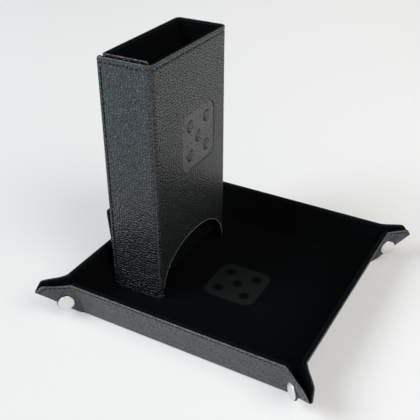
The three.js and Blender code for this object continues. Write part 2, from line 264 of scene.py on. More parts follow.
class Finish:
    """A procedural material, or the world, built node by node."""

    def __init__(self, block, shader="Principled BSDF", space="Object"):
        block.use_nodes = True
        self.block, self.tree = block, block.node_tree
        self.shader = self.tree.nodes[shader]
        self.coords = self.add("TexCoord", space)

    def add(self, kind, out=0, settings=None, numbered=None, **named):
        """A node of that type with its settings, and its sockets' values or links: by name, or by
        number where names repeat."""
        node = self.tree.nodes.new("ShaderNode" + kind)
        for key, value in (settings or {}).items():
            setattr(node, key, value)
        for key, value in (numbered or {}).items():
            feed(self.tree, node.inputs[key], value)
        for key, value in named.items():
            feed(self.tree, node.inputs[key.replace("_", " ")], value)
        return Wire(self.tree, node.outputs[out])

    def surface(self, **sockets):
        """Feeds the shader's own sockets, and gives the material or world."""
        for key, value in sockets.items():
            feed(self.tree, self.shader.inputs[key.replace("_", " ")], value)
        return self.block

    def noise(self, scale, detail=2.0, roughness=0.5):
        return self.add("TexNoise", "Fac", Vector=self.coords, Scale=scale, Detail=detail,
                        Roughness=roughness)

    def attribute(self, name):
        return self.add("Attribute", "Fac", {"attribute_name": name})

    def between(self, fac, low, high):
        """A number that goes from low to high as fac goes from 0 to 1."""
        return fac * (high - low) + low

    def span(self, value, low, high, first=0.0, last=1.0, **settings):
        """A number that goes from first to last as value goes from low to high, and stops there."""
        return self.add("MapRange", "Result", settings, Value=value, From_Min=low, From_Max=high,
                        To_Min=first, To_Max=last)

    def colour(self, fac, low, high):
        return self.add("Mix", 2, {"data_type": "RGBA"}, {0: fac, 6: low, 7: high})

    def bump(self, height, distance, strength):
        return self.add("Bump", Height=height, Distance=distance, Strength=strength)


def grey(value, warm=0.0):
    return (value * (1 + warm), value, value * (1 - warm), 1)


# Grain: pebbles to a metre, their width over their height, how far they wander, in metres, and the
# share of their dome in the relief
PEBBLES, STRETCH, WANDER, DOME = 450.0, 0.98, 0.0006, 0.6


def leather_finish(name, low, high, rough_low, rough_high, grain, spread):
    """Pebbled faux leather: domed cells, 1 - distance^2, with narrow valleys between, moved a
    little by a wandering offset, under a finer wrinkle. Pressed places lose the pebbles. Its colour
    is painted lighter on the pebbles' tops and darker in the valleys: painted highlight and shade."""
    f = Finish(bpy.data.materials.new(name))
    wander = f.add("TexNoise", "Color", Vector=f.coords, Scale=190.0, Detail=2.0)
    scaled = {"operation": "MULTIPLY_ADD"}
    moved = f.add("VectorMath", 0, scaled, {0: wander, 1: (WANDER,) * 3, 2: f.coords})
    shift = [0.35 - face * MM * PEBBLES - WANDER * PEBBLES / 2 for face in (FRONT_X, NEAR_Y)]
    moved = f.add("VectorMath", 0, scaled, {0: moved, 1: (PEBBLES, PEBBLES, PEBBLES * STRETCH),
                                            2: (*shift, 0.0)})
    cells = f.add("TexVoronoi", "Distance", {"feature": "SMOOTH_F1"},
                  Vector=moved, Scale=1.0, Smoothness=0.2, Randomness=spread)
    valleys = f.add("TexVoronoi", "Distance", {"feature": "DISTANCE_TO_EDGE"},
                    Vector=moved, Scale=1.0, Randomness=spread)
    fine = f.noise(2600.0, 3.0, 0.6)
    patches = f.noise(26.0, 3.0, 0.6)
    pressed = f.attribute("pressed")
    edge = f.span(valleys, 0.0, 0.17)
    pebble = (1.0 - cells * cells) * DOME + edge * (1.0 - DOME)
    height = (pebble + fine * 0.04) * (1.0 - pressed * 0.88)
    # Colour follows the relief: painted highlight on pebble tops, painted shade in valleys, with a
    # random tone in patches
    tone = f.span(pebble, 0.35, 0.8) * 0.75 + patches * 0.25
    rough = f.between(edge, rough_high, rough_low) + patches * 0.08 - pressed * 0.03
    base = f.colour(tone, low, high)
    base = f.colour(pressed * 0.6, base, grey(0.036, 0.05))
    # The cut edge is painted paler in broken dashes: partly the edge's own wear, partly a painted
    # highlight where the rolled edge catches light
    glint_breaks = f.span(f.noise(430.0, 1.0), 0.38, 0.6, 0.25)
    base = f.colour(f.attribute("worn") * glint_breaks, base, (0.22, 0.235, 0.24, 1))
    return f.surface(Base_Color=base, Roughness=rough, Normal=f.bump(height, grain, 0.9),
                     Specular_IOR_Level=0.74, Specular_Tint=(0.96, 0.99, 1.0, 1))


def velvet_finish(name, low, high):
    """Short-pile velvet: a soft nap that lies in brushed patches, over a very fine pile."""
    f = Finish(bpy.data.materials.new(name))
    nap = f.noise(38.0, 4.0, 0.65)
    pile = f.noise(3400.0, 2.0, 0.7)
    base = f.colour(nap * 0.6 + pile * 0.4, low, high)
    # Paler where printed, for the die face on the floor, and at the rims as a painted highlight
    # where the velvet rolls over
    base = f.colour(f.attribute("printed"), base, (0.0092, 0.0108, 0.0100, 1))
    return f.surface(Base_Color=base, Roughness=0.95 - nap * 0.12,
                     Normal=f.bump(pile * 0.7 + nap * 0.3, 0.00018, 0.8),
                     Specular_IOR_Level=0.05, Sheen_Weight=0.006, Sheen_Roughness=0.5,
                     Sheen_Tint=(0.82, 0.88, 1.0, 1))


def metal_finish(name, tone, rough):
    """Plated metal with a fine tumbled surface."""
    f = Finish(bpy.data.materials.new(name))
    scuffs = f.noise(900.0, 4.0, 0.7)
    cloud = f.noise(120.0, 2.0)
    return f.surface(Base_Color=f.colour(cloud, grey(tone * 0.94, 0.01), grey(tone, 0.01)),
                     Metallic=1.0, Roughness=f.between(scuffs, rough - 0.06, rough + 0.1),
                     Normal=f.bump(scuffs, 0.00002, 0.4))


def thread_finish(name):
    """Waxed polyester thread: a fine twist runs across each stitch."""
    f = Finish(bpy.data.materials.new(name))
    twist = f.noise(5200.0, 1.0)
    return f.surface(Base_Color=f.colour(twist, grey(0.002), grey(0.006)),
                     Roughness=f.between(twist, 0.7, 0.9), Normal=f.bump(twist, 0.00008, 0.7),
                     Specular_IOR_Level=0.12)


def board_finish(name):
    """Grey card: pressed fibres with darker flecks."""
    f = Finish(bpy.data.materials.new(name))
    fibre = f.noise(1500.0, 4.0, 0.7)
    mottle = fibre * 0.7 + f.noise(420.0, 2.0) * 0.3
    return f.surface(Base_Color=f.colour(mottle, grey(0.13, 0.08), grey(0.24, 0.08)),
                     Roughness=f.between(fibre, 0.8, 0.95), Normal=f.bump(fibre, 0.0001, 0.6))


LEATHER = leather_finish("pebbled_black_leather", (0.0008, 0.0010, 0.0012, 1),
                         (0.0072, 0.0086, 0.0095, 1), 0.13, 0.60, 0.0009, 0.72)
# The tray's black leather, painted paler and bluer than the tower's: painted cool light on its
# walls
TRAY_LEATHER_PAINTED_LIGHT = leather_finish("pebbled_tray_leather_painted_light", (0.0080, 0.0110, 0.0132, 1),
                              (0.0225, 0.0305, 0.0360, 1), 0.28, 0.60, 0.0006, 1.0)
VELVET = velvet_finish("black_velvet", (0.0006, 0.0009, 0.0011, 1), (0.0022, 0.0028, 0.0032, 1))
SNAP_METAL = metal_finish("satin_snap_metal", 0.80, 0.36)
MAGNET_STEEL = metal_finish("magnet_plating", 0.55, 0.35)
THREAD = thread_finish("black_thread")
BOARD = board_finish("grey_card")


# Generic mark: the five face of a die, a rounded square with its pips left out
def soft_inside(distance):
    """1 where the distance is negative, 0 where positive, with a soft edge."""
    return 1 - smooth(-0.5, 0.5, distance)


def die_face(x, y, size):
    """A rounded square with five pips left out of it, as a 0 to 1 field: the signed distance of a
    rounded square, and of five discs."""
    corner = size * 0.2
    qx, qy = np.abs(x) - (size / 2 - corner), np.abs(y) - (size / 2 - corner)
    outside = np.hypot(np.maximum(qx, 0), np.maximum(qy, 0)) + np.minimum(np.maximum(qx, qy), 0)
    mark = soft_inside(outside - corner)
    step = size * 0.26
    for px, py in ((0, 0), (1, 1), (1, -1), (-1, 1), (-1, -1)):
        pip = soft_inside(np.hypot(x - px * step, y - py * step) - size * 0.095)
        mark = mark * (1 - pip)
    return mark


# Stitches, gathered for each body and made at the end
stitch_rows = {}


def sew(body, centres, along, out):
    """Keeps a row of stitches: the middle of each, its direction and the way out of the leather."""
    centres, along, out = (np.atleast_2d(np.asarray(v, float)) for v in (centres, along, out))
    along, out = np.broadcast_to(along, centres.shape), np.broadcast_to(out, centres.shape)
    stitch_rows.setdefault(body, []).append((centres, along, out))


def sew_line(body, start, end, out, pitch=STITCH_PITCH):
    """An even row of stitches from one point to another."""
    start, end = np.asarray(start, float), np.asarray(end, float)
    run = np.linalg.norm(end - start)
    share = middles(max(int(round(run / pitch)), 1))
    sew(body, start + share[:, None] * (end - start), (end - start) / run, out)


def make_stitches():
    """Each stitch is a short bowed bead: a six-sided tube along an arch, thin at both ends,
    with its ends sunk in the leather and a slight slant across the row."""
    rings, around = 7, 6
    t = np.linspace(-1, 1, rings)[:, None]
    a = (np.arange(around) / around * 2 * math.pi)[None, :]
    thick = 0.46 * np.sqrt(np.maximum(1 - t**2 * 0.92, 0.02))
    across = thick * np.cos(a) + 0.22 * t
    up = thick * 0.7 * np.sin(a) + 0.10 - 0.36 * t**2
    local = np.stack(np.broadcast_arrays(1.3 * t, across, up), -1).reshape(-1, 3)
    sides, ends = tube(rings, around)
    for body, rows in stitch_rows.items():
        centre, along, out = (np.concatenate([row[i] for row in rows]) for i in range(3))
        side = np.cross(out, along)
        points = (centre[:, None] + local[None, :, :1] * along[:, None]
                  + local[None, :, 1:2] * side[:, None] + local[None, :, 2:] * out[:, None])
        first = (np.arange(len(centre)) * len(local))[:, None, None]
        faces = (sides[None] + first).reshape(-1, 4).tolist()
        faces += (ends[None] + first).reshape(-1, around).tolist()
        piece = finish_mesh(body + "_stitches", points.reshape(-1, 3), faces, THREAD)
        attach(piece, body)


# Tower
TOWER_CORNERS = {
    "near_front": ((FRONT_X, NEAR_Y), (1, 0), (0, 1), "near_side", "arch_panel", TOP, TOP),
    "far_front": ((FRONT_X, FAR_Y), (0, 1), (-1, 0), "arch_panel", "far_side", TOP, TOP),
    "far_back": ((BACK_X, FAR_Y), (-1, 0), (0, -1), "far_side", "back_panel", TOP, TOP),
    "near_back": ((BACK_X, TUCK_Y), (0, -1), (1, 0), "back_panel", "tuck_flap", TOP, TOP + 1),
}
CORNER_OUT = CORNER + STUB
CORNER_IN = PANEL + FILLET + STUB


def tower_rows(top, steps=EDGE_STEPS):
    """Heights on a tower panel: close together at both rims, and every 8 mm between."""
    return spaced(FOOT + steps, top - steps, np.arange(FOOT + 14, top - 12, 8.0))


def ripple(s, z, width=0.0):
    """Slow unevenness of the leather over its board, in millimetres, level near the corners."""
    window = smooth(5, 20, np.minimum(s, width - s))
    wave = 0.10 * np.sin(s * 0.11 + 0.6) * np.sin(z * 0.052 + s * 0.02) + 0.05 * np.sin(z * 0.13)
    return window * wave


def tower_depths(s, z, top, edge, width=0.0):
    """Outer and inner depth of the leather from the panel's outer face."""
    outer, inner = skin_depths(edge)
    outer = outer + smooth(6, 22, edge) * (0.12 + ripple(s, z, width))
    outer = (outer + furrow(top - z, TOWER_STITCH, deep=0.3)
             + furrow(z - FOOT, TOWER_STITCH, deep=0.3))
    return outer, inner


def panel_leather(name, outer, inner, marks):
    settle(shell(name + "_leather", outer, inner, LEATHER, "leather", marks), name, name + "_cover")


def panel_velvet(name, put, s, z, edge):
    face, back = velvet_depths(edge)
    pad = shell(name + "_velvet", put(s, face, z), put(s, back, z), VELVET, "velvet",
                edge_marks("velvet", edge))
    settle(pad, name, name + "_lining")


def sew_row(name, put, ends, depth, height, out):
    """Stitches across a panel, between two places along it."""
    sew_line(name, *(put(s, depth, height) for s in ends), out)


def tower_panel(name, origin, along, inward, width, top, free=0):
    """One upright panel: leather, rolled over at the top and the foot, velvet and stitches. Its
    upright edges meet corners, but for a free, rolled one: the first for -1, the last for 1."""
    start, low = (0, 0) if free < 0 else (CORNER_OUT, CORNER_IN)
    end, high = (width, width) if free > 0 else (width - CORNER_OUT, width - CORNER_IN)
    z, s = grid(tower_rows(top), spaced(
        start, end, np.arange(start + 4, end - 2, 3.0), EDGE_STEPS if free < 0 else [],
        width - EDGE_STEPS if free > 0 else []))
    rim = np.minimum(top - z, z - FOOT)
    side = s if free < 0 else width - s
    edge = np.minimum(rim, side) if free else rim
    outer, inner = tower_depths(s, z, top, edge, width)
    inside = np.clip(s, low, high)
    if free:
        outer = outer + furrow(side, FREE_STITCH) * smooth(3, 5, rim)
        side, up = round_outline(side, z - FOOT, math.inf, top - FOOT, FREE_RADIUS)
        s, z = (side if free < 0 else width - side), FOOT + up
        inside = np.where(side < 6, s, inside)
    put = place((*origin, 0), (*along, 0), (*inward, 0), (0, 0, 1))
    panel_leather(name, put(s, outer, z), put(inside, inner, z), edge_marks("leather", edge))
    out = -np.array([*inward, 0.0])
    for height in (top - TOWER_STITCH, FOOT + TOWER_STITCH):
        sew_row(name, put, (start + 1.2, end - 1.2), SEW_OUT, height, out)
        if name == "back_panel" and height == FOOT + TOWER_STITCH:
            continue    # the exit ramp folds down over this place
        sew_row(name, put, (max(low, 2) + 5, min(high, width - 2) - 5), SEW_IN, height, -out)
    if free:
        at = FREE_STITCH if free < 0 else width - FREE_STITCH
        sew_line(name, put(at, 0.2, FOOT + 7), put(at, 0.2, top - 7), out)

    z, s = grid(tower_rows(top, VELVET_STEPS), spaced(
        VELVET_STEPS if free < 0 else low, np.arange(8, width - 6, 6.0),
        width - VELVET_STEPS if free > 0 else high))
    edge = np.minimum(z - FOOT, top - z)
    if free:
        edge = np.minimum(edge, s if free < 0 else width - s)
    panel_velvet(name, put, s, z, edge)


def round_outline(u, v, wide, tall, radius):
    """Draws the square corners of an outline onto arcs: inside a corner's square, both distances
    a and b from its inner sides are multiplied by max(a, b) / hypot(a, b)."""
    a = radius - np.minimum(u, wide - u)
    b = radius - np.minimum(v, tall - v)
    both = (a > 0) & (b > 0)
    pull = np.where(both, np.maximum(a, b) / np.maximum(np.hypot(a, b), 1e-9), 1)
    du, dv = radius - a * pull, radius - b * pull
    new_u = np.where(u < wide / 2, du, wide - du)
    new_v = np.where(v < tall / 2, dv, tall - dv)
    return np.where(both, new_u, u), np.where(both, new_v, v)


def tower_corner(name, corner, t, n, first, second, top_first, top_second):
    """A rounded upright corner between the two panels it joins. Its columns lie close together
    round the corner's diagonal."""
    sweep = np.radians([0, 0, 12, 24, 34, 39, 41, 42.5, 44, 45, 46, 47.5, 49, 51, 56, 66, 78,
                        90, 90])
    corner, t, n = (np.array(v, float) for v in (corner, t, n))
    ray = np.sin(sweep)[:, None] * t - np.cos(sweep)[:, None] * n
    stub = np.zeros((len(sweep), 2))
    stub[0], stub[-1] = -STUB * t, STUB * n

    def skin(layer, material, centre, radii, z, edge):
        """One layer. Its faces are arcs round a centre that lies as deep in from both panels'
        outer faces, with a short flat part before and after."""
        faces = [np.concatenate([corner + centre * (n - t) + radius[..., None] * ray + stub,
                                 z[..., None]], -1) for radius in radii]
        piece = shell(f"{name}_corner_{layer}", *faces, material, layer, edge_marks(layer, edge))
        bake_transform(piece)

    top = top_first + (top_second - top_first) * smooth(0, math.pi / 2, sweep)
    z = grid(tower_rows(TOP), sweep)[0]
    z = z + (top - TOP) * smooth(FOOT + 20, TOP - 20, z)
    edge = np.minimum(top - z, z - FOOT)
    outer, inner = tower_depths(0 * z, z, top, edge)
    skin("leather", LEATHER, CORNER, (CORNER - outer, np.maximum(CORNER - inner, FILLET)), z, edge)

    top, middle = min(top_first, top_second), PANEL + FILLET
    z = grid(tower_rows(top, VELVET_STEPS), sweep)[0]
    edge = np.minimum(z - FOOT, top - z)
    skin("velvet", VELVET, middle, [middle - depth for depth in velvet_depths(edge)], z, edge)


def arch_line(angle, grow=0.0):
    """The arch's edge, a superellipse |x/a|^p + |z/b|^p = 1, and its unit normal into the
    leather. grow moves the point along that normal."""
    c, s = np.cos(angle), np.maximum(np.sin(angle), 0)
    high = ARCH_TOP - FOOT
    x = ARCH_HALF * np.sign(c) * np.abs(c) ** (2 / ARCH_POWER)
    z = high * s ** (2 / ARCH_POWER)
    nx = np.sign(x) * (np.abs(x) / ARCH_HALF) ** (ARCH_POWER - 1) / ARCH_HALF
    nz = (z / high) ** (ARCH_POWER - 1) / high
    size = np.hypot(nx, nz)
    nx, nz = nx / size, nz / size
    return x + nx * grow, FOOT + z + nz * grow, nx, nz


ARCH_MIDDLE = WIDE / 2
MARK_S, MARK_Z, MARK_SIZE = 62.5, 122.5, 47.0


def arch_columns(extra):
    """Angles round the arch, from its left foot to its right, that give columns in chosen places
    as well as an even run."""
    even = np.concatenate([[math.pi, math.pi - 1e-3], np.linspace(math.pi - 0.01, 0.01, 76),
                           [1e-3, 0]])
    dense = np.linspace(math.pi, 0, 6000)
    x = arch_line(dense, 1.5)[0]
    wanted = np.interp(extra - ARCH_MIDDLE, x, dense)
    angles = np.unique(np.concatenate([even, wanted]))[::-1]
    x = arch_line(angles, 1.5)[0]
    keep = np.concatenate([[True], np.diff(x) > 0.05])
    keep[-1] = True
    return angles[keep]


def arch_grid(columns, heights, roll, rim_steps):
    """Columns that stand on the arch: near its edge they follow the arch's normal, and above that
    they run straight up to the rim. Gives place along the panel, height and distance from the
    arch."""
    rim, band = roll[-1] + 0.5, 50.0
    angles = arch_columns(columns)
    near = [arch_line(angles, a) for a in roll]
    foot_x, foot_z, _, _ = arch_line(angles, rim)
    share = np.concatenate([[0, 0.01, 0.02, 0.035, 0.055, 0.08, 0.11], np.linspace(0.15, 1, 14)])
    above = spaced(heights, TOP - rim_steps)
    x = np.concatenate([[n[0] for n in near], np.repeat(foot_x[None], len(share) + len(above), 0)])
    z = np.concatenate([[n[1] for n in near], foot_z + share[:, None] * (band - foot_z),
                        np.repeat(above[:, None], len(foot_x), 1)])
    edge = np.concatenate([np.repeat(np.array(roll)[:, None], len(foot_x), 1),
                           rim + np.maximum(z[len(roll):] - foot_z, 0) * 0.9])
    s = x + ARCH_MIDDLE
    s = np.concatenate([np.zeros((len(s), 1)), s, np.full((len(s), 1), WIDE)], 1)
    z, edge = (np.concatenate([v[:, :1], v, v[:, -1:]], 1) for v in (z, edge))
    return s, z, np.minimum(np.minimum(edge, TOP - z), np.maximum(z - FOOT, 0))


def arch_panel():
    """The arched panel: leather with the pressed mark, velvet inside, stitches."""
    name = "arch_panel"
    put = place((FRONT_X, NEAR_Y, 0), (0, 1, 0), (-1, 0, 0), (0, 0, 1))
    fine = np.arange(-27, 27, 0.55)
    heights = spaced(np.arange(55, MARK_Z - 30, 6.0), MARK_Z + fine,
                     np.arange(MARK_Z + 32, TOP - 13, 6.0))
    s, z, edge = arch_grid(np.concatenate([MARK_S + fine, np.arange(8, 34, 2.5)]), heights,
                           EDGE_STEPS[:7], EDGE_STEPS)
    s = np.clip(s, CORNER_OUT, WIDE - CORNER_OUT)
    mark = die_face(s - MARK_S, z - MARK_Z, MARK_SIZE)
    outer, inner = skin_depths(edge)
    bead = np.exp(-(((edge - 0.9) / 0.45) ** 2)) * smooth(5, 12, TOP - z)
    outer = (outer + furrow(TOP - z, TOWER_STITCH, deep=0.3) + 0.42 * mark - 0.3 * bead
             + smooth(6, 22, edge) * (0.12 + ripple(s, z, WIDE)))
    inside = np.clip(s, CORNER_IN, WIDE - CORNER_IN)
    # The bead round the arch is painted paler too: a painted highlight along the arch's edge
    panel_leather(name, put(s, outer, z), put(inside, inner, z),
                  {"pressed": mark, "worn": np.maximum(worn_and_glint_edge(edge), bead)})
    row = TOP - TOWER_STITCH
    sew_row(name, put, (CORNER_OUT + 1.2, WIDE - CORNER_OUT - 1.2), SEW_OUT, row, (1, 0, 0))
    sew_row(name, put, (CORNER_IN + 1, WIDE - CORNER_IN - 1), SEW_IN, row, (-1, 0, 0))
    sew_arch(name, put)

    s, z, edge = arch_grid(np.arange(8, 100, 4.0), np.arange(56, TOP - 12, 8.0),
                           VELVET_STEPS[:6], VELVET_STEPS)
    panel_velvet(name, put, np.clip(s, CORNER_IN, WIDE - CORNER_IN), z, edge)


def sew_arch(name, put):
    """Stitches at even steps of arc length round the arch, just outside its rolled edge."""
    dense = np.linspace(math.pi, 0, 3000)
    run = run_along(*arch_line(dense, ARCH_STITCH)[:2])
    free_run = run[-1] - 14
    at = np.interp(7 + middles(int(round(free_run / STITCH_PITCH))) * free_run, run, dense)
    x, z, nx, nz = arch_line(at, ARCH_STITCH)
    sew(name, put(x + ARCH_MIDDLE, 0.08, z), np.stack([0 * x, nz, -nx], -1), (1, 0, 0))


tower_panel("near_side", (BACK_X, NEAR_Y), (1, 0), (0, 1), DEEP, TOP, free=-1)
tower_panel("far_side", (FRONT_X, FAR_Y), (-1, 0), (0, -1), DEEP, TOP)
tower_panel("back_panel", (BACK_X, FAR_Y), (0, -1), (1, 0), FAR_Y - TUCK_Y, TOP)
tower_panel("tuck_flap", (BACK_X, TUCK_Y), (1, 0), (0, 1), DEEP - PANEL - 1, TOP + 1, free=1)
arch_panel()
for corner_name, facts in TOWER_CORNERS.items():
    tower_corner(corner_name, *facts)


# Slabs: a flat four-sided board wrapped in cloth or leather
def slab(name, corners, inward, thick, material, slot, roll=None, gap=3.0, radius=0.0):
    """A board between four corner points, (1-u)(1-v)A + u(1-v)B + uvC + (1-u)vD, whose border is
    rolled to half its thickness."""
    a, b, c, d = (np.asarray(p, float) for p in corners)
    roll = roll or thick / 2
    wide, tall = np.linalg.norm(b - a), np.linalg.norm(d - a)
    rim = roll * np.array([0, 0.02, 0.08, 0.2, 0.38, 0.62, 1.0])
    u = spaced(rim, wide - rim, np.arange(roll + 1, wide - roll, gap))
    v = spaced(rim, tall - rim, np.arange(roll + 1, tall - roll, gap))
    v, u = grid(v, u)
    edge = np.minimum(np.minimum(u, wide - u), np.minimum(v, tall - v))
    if radius:
        u, v = round_outline(u, v, wide, tall, radius)
    u, v = (u / wide)[..., None], (v / tall)[..., None]
    flat = (1 - u) * (1 - v) * a + u * (1 - v) * b + u * v * c + (1 - u) * v * d
    inward = np.asarray(inward, float)
    depth = rolled(edge, roll)[..., None]
    return shell(name, flat + depth * inward, flat + (thick - depth) * inward, material, slot)


# A ramp's thickness, its gap to the panel, and how far it keeps from one side
RAMP_THICK, RAMP_GAP, RAMP_INSET = 1.8, 0.3, 12.8


def ramp(name, hinge_z, length, slope, cut, on_back):
    """A velvet-wrapped ramp that slopes down from its hinge on the back or the arched panel."""
    side = 1 if on_back else -1
    stand = PANEL + RAMP_GAP + RAMP_THICK
    down = np.array([side * math.cos(slope), 0, -math.sin(slope)])
    under = np.cross([0, side, 0], down)
    x = BACK_X + stand if on_back else FRONT_X - stand
    near, far = TUCK_Y + PANEL, FAR_Y - PANEL
    y = near + RAMP_INSET if on_back else far - RAMP_INSET
    full = far - near - RAMP_INSET - 1.5
    origin, hinge = np.array([x, y, hinge_z]), np.array([0.0, side, 0])
    corners = [origin, origin + full * hinge, origin + full * hinge + length * down,
               origin + cut * hinge + length * down]
    settle(slab(name + "_board", corners, under, RAMP_THICK, VELVET, "velvet", gap=6.0), name, name)


EXIT_SLOPE = math.radians(55)
EXIT_LENGTH = (DEEP - 2 * PANEL - RAMP_GAP - RAMP_THICK - 1) / math.cos(EXIT_SLOPE)
ramp("upper_ramp", 158.0, 20.0, math.radians(42), 0, True)
ramp("middle_ramp", 118.0, 20.0, math.radians(42), 0, False)
ramp("exit_ramp", 65.0, EXIT_LENGTH, EXIT_SLOPE, 7.0, True)


def rear_flap():
    """The flap behind the tower: leather outside, velvet towards the tower."""
    name, tilt, tall, wide, thick = "rear_flap", math.radians(5.5), 51.0, FAR_Y - TUCK_Y, 2.0
    up = np.array([-math.sin(tilt), 0, math.cos(tilt)])
    out = np.array([-math.cos(tilt), 0, -math.sin(tilt)])
    origin, along = np.array([BACK_X - 0.3, TUCK_Y, 20.0]), np.array([0, 1.0, 0])

    def corners(inset, proud):
        low = origin + inset * along + inset * up - proud * out
        w, h = (wide - 2 * inset) * along, (tall - 2 * inset) * up
        return [low, low + w, low + w + h, low + h]

    settle(slab(name + "_leather", corners(0, 0), out, thick, LEATHER, "leather", radius=2.5),
           name, name)
    settle(slab(name + "_velvet", corners(4.0, 0.18), out, 0.6, VELVET, "velvet", roll=0.2,
                radius=1.5), name)
    row = origin + (tall - 2.2) * up + (thick - 0.1) * out
    sew_line(name, row + 3 * along, row + (wide - 3) * along, out)


rear_flap()


# Tray
COS, SIN, HALF_TURN = math.cos(LEAN), math.sin(LEAN), math.tan(TURN / 2)
WALL_ORDER = ["front", "right", "back", "left"]
CORNERS = ["front_right", "back_right", "back_left", "front_left"]
UP = np.array([0, -SIN, COS])
IN = np.array([0, COS, SIN])
FOLD_RADIUS = 2.4
WALL_FIRST = (PANEL + FILLET) * HALF_TURN + 0.4    # where a wall's flat part begins
UNDER_ROWS, TURN_ROWS = 4, 9                       # rows of points under the base, round the fold


def turned(points, quarter, mirror=False):
    """A copy of the front wall's points at another wall: mirrored left to right if asked, then
    turned by quarters about the tray's middle."""
    p = np.array(points, float)
    if mirror:
        p[..., 0] = -p[..., 0]
    c, s = [(1, 0), (0, 1), (-1, 0), (0, -1)][quarter]
    x, y = p[..., 0] * c - p[..., 1] * s, p[..., 0] * s + p[..., 1] * c
    return np.stack([x, y, p[..., 2]], -1)


def wall_point(u, v, d):
    """Point of the front wall: u along it, v up its slope from the fold line, d inwards."""
    u, v, d = np.broadcast_arrays(u, v, d)
    return np.stack([u, -HALF - v * SIN + d * COS, v * COS + d * SIN], -1)


def wall_section(depth, v, middle, radius):
    """Path of a face from under the base, round the fold and up the wall, as (inwards, up). The
    fold is an arc round a centre that is `middle` from both outer faces."""
    angles = np.linspace(0, TURN, TURN_ROWS)
    base_y = np.linspace(BASE_STRIP, middle * HALF_TURN, UNDER_ROWS + 1)[:-1]
    return (np.concatenate([base_y, middle * HALF_TURN - radius * np.sin(angles),
                            -v * SIN + depth * COS]),
            np.concatenate([np.full(UNDER_ROWS, middle - radius), middle - radius * np.cos(angles),
                            v * COS + depth * SIN]))


def wall_sag(u, v):
    """Slight give of the wall between its ends: it bows a little and its face is not quite flat."""
    window = smooth(2, 12, v) * smooth(0, 9, WALL - v) * smooth(0, 25, HALF - 4 - np.abs(u))
    return window * (0.12 * np.sin(u * 0.055 + 0.8) + 0.08 * np.sin(u * 0.13 + v * 0.2))


def tray_wall(index):
    """One wall. Its leather starts under the base, turns up at the fold and ends in a cut edge at
    the rim, and the velvet comes up inside it. Their ends are cut on the tray's diagonals."""
    name = WALL_ORDER[index] + "_wall"
    share = np.concatenate([[-1], np.linspace(-0.985, 0.985, 65), [1]])

    def sheet(depth, v, middle, radius):
        """One face. Above the fold only the outer one, round FOLD_RADIUS, isn't cut back."""
        y, z = wall_section(depth, v, middle, radius)
        folded = np.arange(len(y)) < UNDER_ROWS + TURN_ROWS
        mitre = HALF - np.maximum(y, 0.1) - 0.15
        end = np.where(folded, mitre, HALF - EAR_START)
        if middle > FOLD_RADIUS:
            end = np.minimum(mitre, end)
        u = share * end[:, None]
        bulge = np.zeros_like(u)
        bulge[~folded] = wall_sag(u[~folded], v[:, None])
        points = np.stack(np.broadcast_arrays(u, y[:, None] - HALF, z[:, None]), -1)
        return turned(points + bulge[..., None] * IN, index)

    def skin(layer, material, solid, v, depths, arcs):
        """One layer, from under the base round the fold and up the wall."""
        sides = [sheet(depth, v, *arc) for depth, arc in zip(depths, arcs)]
        edge = np.concatenate([np.full(UNDER_ROWS + TURN_ROWS, WALL), WALL - v])
        marks = edge_marks(layer, np.repeat(edge[:, None], len(share), 1))
        piece = shell(f"{name}_{layer}", *sides, material, layer, marks)
        across = BLEND_REACH * np.array([0, -1, HALF_TURN]) / math.hypot(1, HALF_TURN)
        start, end = (tuple(turned(np.array([0, -HALF, 0]) + side * across, index) * MM)
                      for side in (-1, 1))
        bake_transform(piece)
        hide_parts(name + solid)

    v = spaced(WALL_FIRST, np.arange(WALL_FIRST + 1.2, WALL - 7.5, 2.2), WALL - EDGE_STEPS)
    outer, inner = skin_depths(WALL - v)
    outer = outer + furrow(WALL - v, WALL_STITCH, 0.8, 0.35)
    skin("leather", TRAY_LEATHER_PAINTED_LIGHT, "_cover", v, (outer, inner),
         ((FOLD_RADIUS, FOLD_RADIUS), (PANEL + FILLET, FILLET + RECESS)))
    for height, depth, out in ((WALL_STITCH, 0.2, -IN), (WALL_STITCH + 0.3, PANEL - 0.02, IN)):
        ends = [turned(wall_point(u, WALL - height, depth), index) for u in (-82, 82)]
        sew_line(name, *ends, turned(out, index), pitch=TRAY_PITCH)

    v = spaced(WALL_FIRST, np.arange(WALL_FIRST + 1.5, WALL - 7.0, 2.5), WALL - VELVET_STEPS)
    bend = PANEL + FILLET + 0.9
    skin("velvet", VELVET, "_lining", v, velvet_depths(WALL - v),
         ((bend, 0.9 + FILLET + LINING_FACE), (bend, 1.4 + LINING_BACK)))


AWAY = np.array([math.cos(BEND), -math.sin(BEND) * COS, -math.sin(BEND) * SIN])
RIDGE = (AWAY + UP) / np.linalg.norm(AWAY + UP)
RIDGE_OUT = np.array([-1, -1, 0]) / math.sqrt(2)
RIDGE_UP = (UP - AWAY) / math.sqrt(2) - RIDGE_OUT * math.sin(LEAN)
RIDGE_UP = RIDGE_UP / np.linalg.norm(RIDGE_UP)
CORNER_POINT = np.array([HALF, -HALF, 0])


def softened(first, second, reach=1.8):
    """The smaller of two numbers, with the step between them rounded over a reach."""
    h = np.maximum(reach - np.abs(first - second), 0) / reach
    return np.minimum(first, second) - h * h * reach / 4


def ear_height(u, inset=0.0):
    """Height of the ear's outline over its square corner: level with the rim, then a blunt tip
    cut square to the ridge, u + v = CUT. inset moves it inwards."""
    return softened(WALL - inset, CUT - inset * math.sqrt(2) - u)


